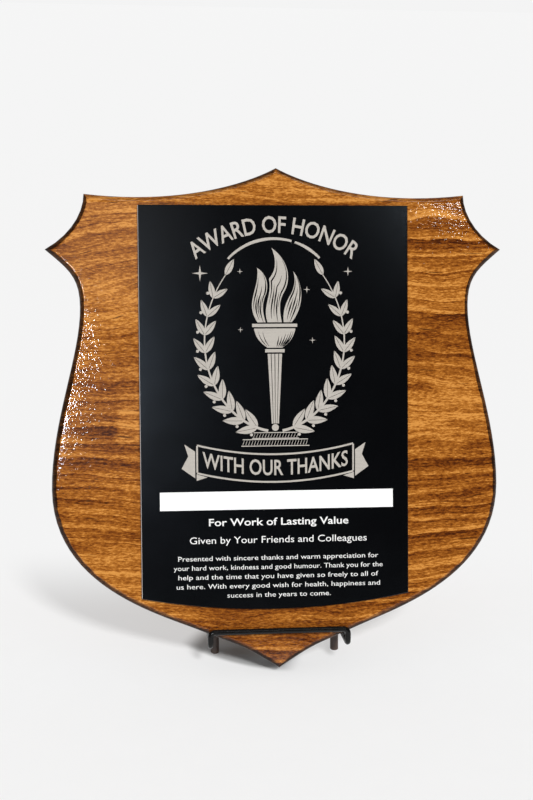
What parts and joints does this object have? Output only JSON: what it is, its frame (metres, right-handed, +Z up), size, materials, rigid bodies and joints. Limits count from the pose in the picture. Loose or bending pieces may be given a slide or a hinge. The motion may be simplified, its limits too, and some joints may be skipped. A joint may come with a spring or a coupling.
{
  "type": "award plaque on easel",
  "caption": "Shield-shaped stained wood plaque with a black engraved plate, leaning on a folding black wire easel.",
  "frame": {"origin": "on the table, at the centre of the object's box seen from above", "axes": "+Z up, the plaque's face looks along -Y and leans back 17 degrees, +X to the viewer's right"},
  "size_m": [0.254, 0.0989, 0.2718],
  "materials": {
    "stained_pine": "stained, gloss lacquer",
    "black_plate": "satin black",
    "engraved_metal": "matte laser-engraved",
    "foam_tape": "matte",
    "white_label": "matte",
    "zinc_steel": "zinc plated",
    "black_wire": "gloss black enamel",
    "brown_vinyl": "satin"
  },
  "bodies": {
    "easel": {"left_upright": "black_wire", "right_upright": "black_wire", "ledge_wire": "black_wire", "hinge_bar": "black_wire", "stop_bar": "black_wire", "left_foot_cap": "brown_vinyl", "right_foot_cap": "brown_vinyl"},
    "plaque": {"shield_board": "stained_pine", "engraved_plate": "black_plate", "tape_strip_top": "foam_tape", "tape_strip_middle": "foam_tape", "tape_strip_bottom": "foam_tape", "name_label": "white_label", "sawtooth_hanger": "zinc_steel", "hanger_nail_left": "zinc_steel", "hanger_nail_right": "zinc_steel"},
    "rear_leg": {"rear_leg_wire": "black_wire"}
  },
  "joints": [
    {"name": "plaque_lift", "type": "slide", "parent": "easel", "child": "plaque", "axis": [0, 0.2924, 0.9563], "range_m": [0, 0.15]},
    {"name": "rear_leg_fold", "type": "hinge", "parent": "easel", "child": "rear_leg", "pos_m": [0, 0.00604, 0.10133], "axis": [1, 0, 0], "range_deg": [-33, 0]}
  ]
}
